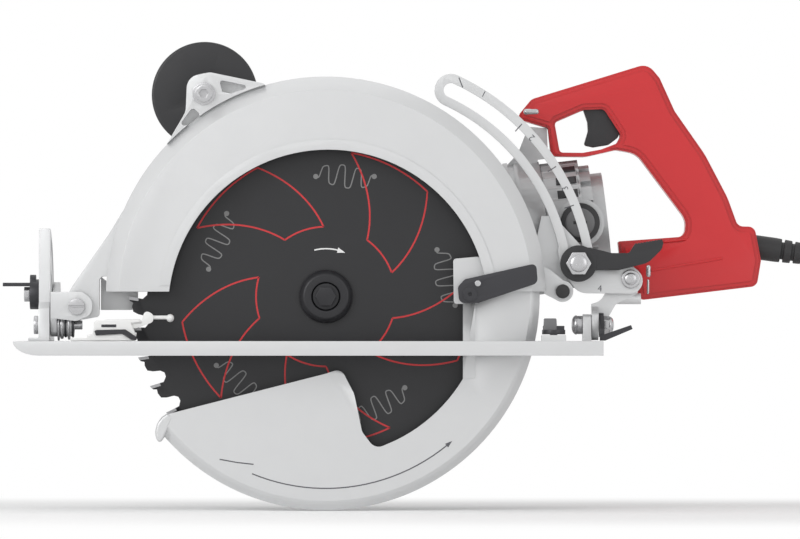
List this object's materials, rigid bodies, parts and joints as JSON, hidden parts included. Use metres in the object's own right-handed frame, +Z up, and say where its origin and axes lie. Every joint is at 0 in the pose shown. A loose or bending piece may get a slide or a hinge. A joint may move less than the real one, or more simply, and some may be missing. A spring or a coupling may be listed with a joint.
{
  "type": "worm drive circular saw",
  "caption": "Worm drive circular saw: cast guards over a toothed blade, a rear and a second handle, a ribbed foot that sets depth and bevel, and a coiled cord with a plug.",
  "frame": {"origin": "on the underside of the foot, under the arbor, 30 mm in front of the blade's plane", "axes": "+X to the rear handle, +Y away from the camera towards the motor, +Z up; the blade's axis is along Y"},
  "size_m": [0.7478, 0.2624, 0.3086],
  "materials": {
    "cast_housing": "polished cast",
    "rubber": "matt",
    "black_plastic": "fine grain",
    "steel": "plated",
    "dark_steel": "blackened",
    "laminations": "dull",
    "brass": "satin",
    "carbon": "dull",
    "red_plastic": "semi-gloss",
    "blade_black": "satin black with bare tips",
    "copper": "enamelled wire",
    "white_plastic": "satin"
  },
  "bodies": {
    "saw_body": {"upper_guard": "cast_housing", "guard_bumper": "rubber", "handle_bracket": "cast_housing", "aux_handle_disc": "black_plastic", "aux_handle_grip": "black_plastic", "aux_handle_bolt": "steel", "gear_housing": "cast_housing", "gear_cover": "cast_housing", "oil_plug": "dark_steel", "motor_housing": "cast_housing", "motor_end_cap": "black_plastic", "field_stator": "laminations", "brush_holders": "brass", "carbon_brushes": "carbon", "brush_caps": "black_plastic", "handle_left_shell": "red_plastic", "handle_right_shell": "red_plastic", "handle_screws": "dark_steel", "switch_body": "black_plastic", "cord_guard": "rubber", "power_cord": "rubber", "cord_coil": "rubber", "plug_body": "rubber", "plug_pins": "brass", "cord_tie": "rubber", "housing_bolts": "steel", "depth_lock_bolt": "steel", "shaft_bearings": "steel", "guard_spring": "steel", "guard_ring": "steel"},
    "arbor": {"arbor_shaft": "steel", "worm_wheel": "brass", "inner_flange": "steel", "saw_blade": "blade_black", "outer_flange": "steel", "blade_bolt": "steel"},
    "armature": {"armature_shaft": "steel", "armature_core": "laminations", "armature_windings": "copper", "commutator": "copper", "cooling_fan": "black_plastic"},
    "lower_guard": {"lower_guard": "cast_housing", "guard_lever": "dark_steel", "guard_lever_screws": "steel"},
    "bevel_frame": {"front_clevis": "cast_housing", "depth_pivot_screw": "steel", "rear_bracket": "cast_housing", "arm_rivet": "steel", "bevel_pivot_bolts": "steel"},
    "depth_arm": {"depth_arm": "cast_housing"},
    "foot": {"foot_plate": "cast_housing", "bevel_quadrant": "cast_housing", "cut_guide": "white_plastic"},
    "depth_lever": {"depth_lever": "black_plastic"},
    "front_bevel_lever": {"front_bevel_lever": "dark_steel"},
    "rear_bevel_lever": {"rear_bevel_lever": "dark_steel"},
    "trigger": {"trigger": "black_plastic"},
    "spindle_lock": {"spindle_lock": "black_plastic"},
    "fence_knob": {"fence_knob": "black_plastic"}
  },
  "joints": [
    {"name": "blade_spin", "type": "hinge", "parent": "saw_body", "child": "arbor", "pos_m": [0, 0.03, 0.0388], "axis": [0, 1, 0], "continuous": true},
    {"name": "armature_spin", "type": "hinge", "parent": "saw_body", "child": "armature", "pos_m": [-0.00334, 0.089, 0.0681], "axis": [0.9936, 0, 0.1132], "continuous": true},
    {"name": "guard_swing", "type": "hinge", "parent": "saw_body", "child": "lower_guard", "pos_m": [0, 0.03, 0.0388], "axis": [0, -1, 0], "range_deg": [0, 125], "stiffness_Nm_per_rad": 0.5, "springref_deg": -45.84},
    {"name": "depth_hinge", "type": "hinge", "parent": "saw_body", "child": "bevel_frame", "pos_m": [-0.1637, 0.03, 0.0321], "axis": [0, 1, 0], "range_deg": [0, 26]},
    {"name": "bevel_hinge", "type": "hinge", "parent": "bevel_frame", "child": "foot", "pos_m": [0, 0.03, 0.0201], "axis": [-1, 0, 0], "range_deg": [0, 50]},
    {"name": "arm_swing", "type": "hinge", "parent": "bevel_frame", "child": "depth_arm", "pos_m": [0.2006, 0.03, 0.0504], "axis": [0, 1, 0], "range_deg": [0, 16]},
    {"name": "depth_lever_turn", "type": "hinge", "parent": "saw_body", "child": "depth_lever", "pos_m": [0.1661, 0.03, 0.0605], "axis": [0, -1, 0], "range_deg": [0, 20]},
    {"name": "front_bevel_lever_turn", "type": "hinge", "parent": "bevel_frame", "child": "front_bevel_lever", "pos_m": [-0.193, 0.08321, 0.04053], "axis": [1, 0, 0], "range_deg": [0, 40]},
    {"name": "rear_bevel_lever_turn", "type": "hinge", "parent": "foot", "child": "rear_bevel_lever", "pos_m": [0.181, 0.03, 0.0201], "axis": [-1, 0, 0], "range_deg": [0, 30]},
    {"name": "trigger_pull", "type": "hinge", "parent": "saw_body", "child": "trigger", "pos_m": [0.182, 0.089, 0.1695], "axis": [0, -1, 0], "range_deg": [0, 9], "stiffness_Nm_per_rad": 0.25, "springref_deg": -17.19},
    {"name": "spindle_lock_press", "type": "slide", "parent": "saw_body", "child": "spindle_lock", "axis": [0, -1, 0], "range_m": [0, 0.003], "stiffness_N_per_m": 300, "springref_m": -0.003},
    {"name": "fence_knob_turn", "type": "hinge", "parent": "foot", "child": "fence_knob", "pos_m": [0.1492, -0.003, 0.012], "axis": [0, 0, 1], "range_deg": [0, 90]}
  ],
  "couplings": [
    {"joint": "armature_spin", "follows": "blade_spin", "ratio": 5.3333},
    {"joint": "arm_swing", "follows": "depth_hinge", "ratio": 0.605}
  ]
}
